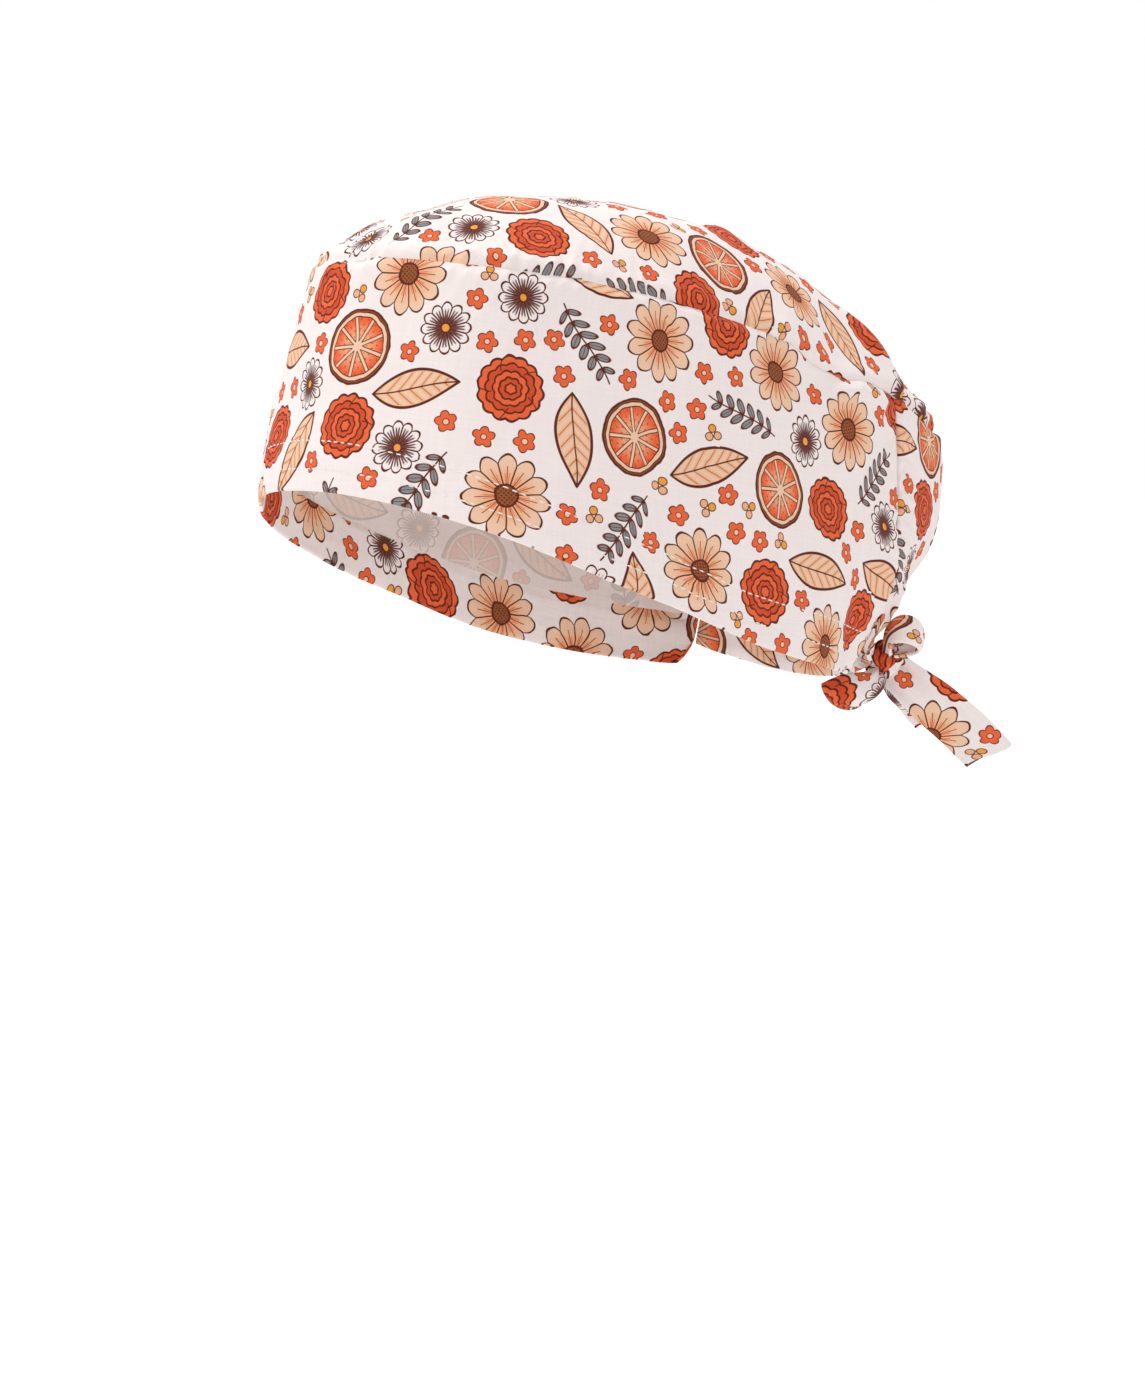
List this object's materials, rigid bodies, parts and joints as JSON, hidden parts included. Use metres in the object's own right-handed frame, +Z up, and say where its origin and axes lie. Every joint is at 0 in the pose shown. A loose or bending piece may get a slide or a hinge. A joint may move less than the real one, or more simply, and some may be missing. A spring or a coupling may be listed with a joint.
{
  "type": "scrub cap",
  "caption": "Tie-back scrub cap in printed cotton, in its worn form: side band with a stitched hem, oval crown, puffed back panel and ties in a bow",
  "frame": {"origin": "middle of the head opening: x is midway between the widest places of the brim, y is at those places and z is the height of the brim there", "axes": "-Y points to the front of the cap, over the wearer's forehead; +X to the wearer's left; +Z up, as the cap is worn"},
  "size_m": [0.164, 0.2589, 0.1919],
  "materials": {
    "printed_cotton": "matt plain-weave cotton with an all-over print in orange, peach, brown and grey",
    "tie_cotton": "the same printed cotton, folded and stitched into flat ties"
  },
  "bodies": {
    "root": {"side_band": "printed_cotton", "crown": "printed_cotton", "back_panel": "printed_cotton", "left_tie_lead": "tie_cotton", "right_tie_lead": "tie_cotton", "tie_knot": "tie_cotton", "upper_bow_loop": "tie_cotton", "lower_bow_loop": "tie_cotton", "left_tie_tail": "tie_cotton", "right_tie_tail": "tie_cotton"}
  },
  "joints": []
}
